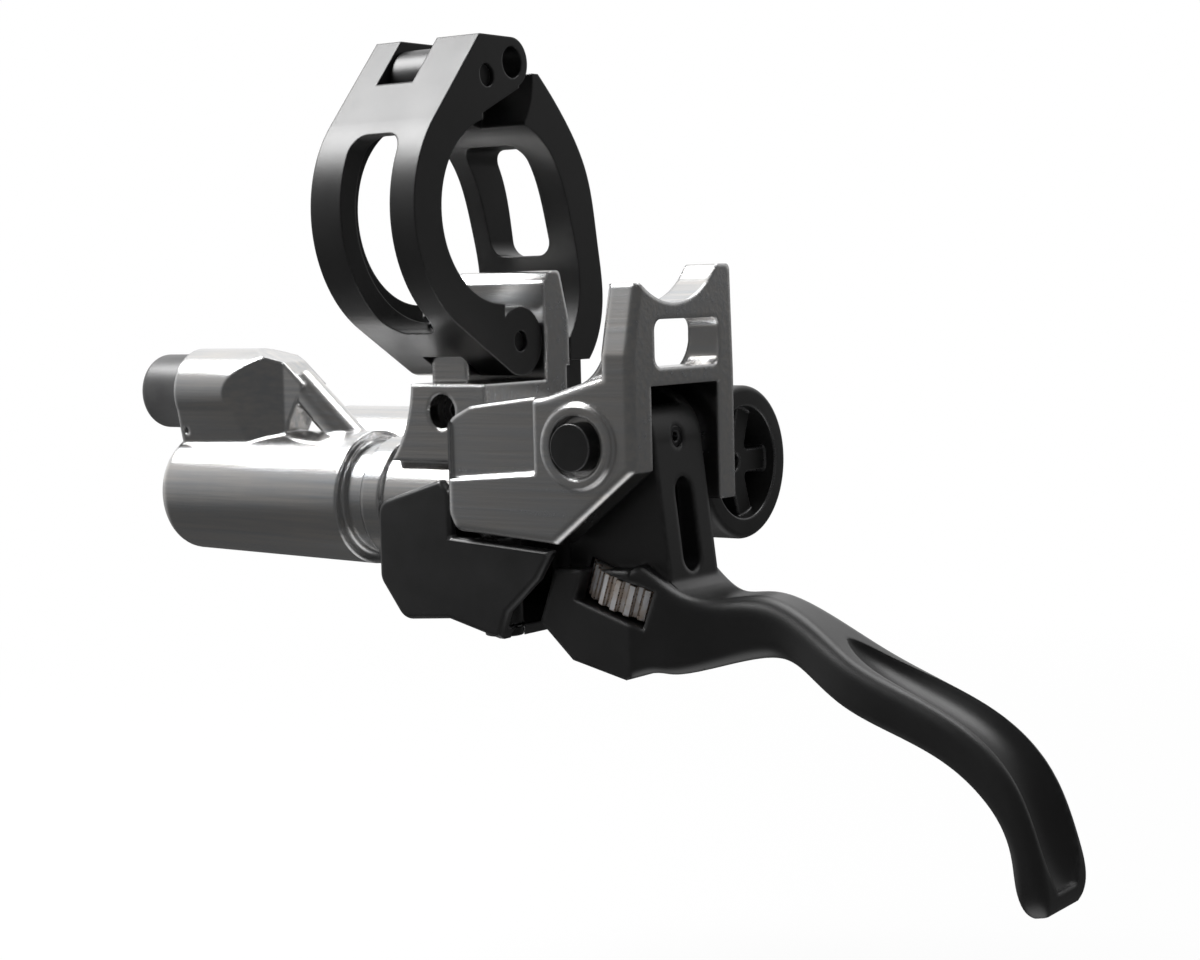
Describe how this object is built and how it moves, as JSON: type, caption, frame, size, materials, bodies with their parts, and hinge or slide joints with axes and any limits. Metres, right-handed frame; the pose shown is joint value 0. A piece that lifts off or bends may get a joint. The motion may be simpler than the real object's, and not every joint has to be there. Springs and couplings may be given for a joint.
{
  "type": "bicycle brake lever",
  "caption": "Hydraulic disc-brake lever for a flat handlebar: polished body with hinged bar clamp, brace foot, hooked lever blade, reach wheel and contact dial.",
  "frame": {"origin": "on the handlebar axis, at mid width of the bar clamp", "axes": "+X along the handlebar towards its end, +Z from the lever up to the bar, -Y the side with the pivot cap"},
  "size_m": [0.1318, 0.0475, 0.0969],
  "materials": {
    "polished_alloy": "polished, slightly satin",
    "black_clamp": "matte black anodised",
    "black_lever": "satin black anodised",
    "black_cover": "satin black moulded",
    "black_dial": "satin black moulded",
    "dark_fitting": "matte dark grey",
    "black_steel": "black oxide steel",
    "wheel_steel": "machined grey",
    "plain_steel": "plain bright steel",
    "inner_plastic": "dark moulded",
    "seal_rubber": "black rubber"
  },
  "bodies": {
    "body": {"main_body": "polished_alloy", "lower_cover": "black_cover", "cover_screws": "black_steel", "hose_fitting": "dark_fitting", "barrel_plug": "black_steel", "clamp_bolt": "black_steel", "lower_hinge_pin": "black_steel", "pivot_pin": "black_steel", "pivot_washers": "inner_plastic", "dial_collar": "inner_plastic"},
    "clamp_left": {"clamp_left": "black_clamp", "upper_hinge_pin": "black_steel"},
    "clamp_arm": {"clamp_arm": "black_clamp"},
    "pull_arm": {"pull_arm": "plain_steel"},
    "lever": {"lever_blade": "black_lever", "pin_lock_screw": "black_steel"},
    "reach_wheel": {"reach_wheel": "wheel_steel"},
    "reach_screw": {"reach_screw": "plain_steel"},
    "piston": {"piston": "inner_plastic", "piston_seals": "seal_rubber", "pull_rod": "plain_steel", "rod_pin": "plain_steel", "return_spring": "plain_steel"},
    "contact_dial": {"contact_dial": "black_dial"},
    "dial_plunger": {"dial_plunger": "inner_plastic"}
  },
  "joints": [
    {"name": "clamp_open", "type": "hinge", "parent": "body", "child": "clamp_left", "pos_m": [0, 0.0033, -0.0157], "axis": [1, 0, 0], "range_deg": [0, 20]},
    {"name": "clamp_arm_open", "type": "hinge", "parent": "clamp_left", "child": "clamp_arm", "pos_m": [0, -0.0019, 0.016], "axis": [1, 0, 0], "range_deg": [-1, 55]},
    {"name": "lever_pull", "type": "hinge", "parent": "body", "child": "pull_arm", "pos_m": [0.0253, 0.0019, -0.0274], "axis": [0, -1, 0], "range_deg": [0, 22], "stiffness_Nm_per_rad": 0.8, "springref_deg": -2.86},
    {"name": "reach_adjust", "type": "hinge", "parent": "pull_arm", "child": "lever", "pos_m": [0.0253, 0.0019, -0.0274], "axis": [0, -1, 0], "range_deg": [0, 6]},
    {"name": "reach_wheel_turn", "type": "hinge", "parent": "lever", "child": "reach_wheel", "pos_m": [0.0272, 0.0019, -0.0447], "axis": [0.309, 0, 0.9511], "range_deg": [0, 540]},
    {"name": "reach_screw_travel", "type": "slide", "parent": "lever", "child": "reach_screw", "axis": [-0.309, 0, -0.9511], "range_m": [0, 0.00075]},
    {"name": "piston_slide", "type": "slide", "parent": "body", "child": "piston", "axis": [1, 0, 0], "range_m": [0, 0.0031], "deforming": ["return_spring"]},
    {"name": "contact_dial_turn", "type": "hinge", "parent": "body", "child": "contact_dial", "pos_m": [0.0282, 0.022, -0.0314], "axis": [1, 0, 0], "range_deg": [0, 360]},
    {"name": "dial_plunger_slide", "type": "slide", "parent": "body", "child": "dial_plunger", "axis": [1, 0, 0], "range_m": [0, 0.003]}
  ],
  "couplings": [
    {"joint": "piston_slide", "follows": "lever_pull", "m_per_rad": 0.007999},
    {"joint": "reach_adjust", "follows": "reach_wheel_turn", "ratio": 0.0111},
    {"joint": "reach_screw_travel", "follows": "reach_wheel_turn", "m_per_rad": 0.000079},
    {"joint": "dial_plunger_slide", "follows": "contact_dial_turn", "m_per_rad": 0.000477}
  ]
}
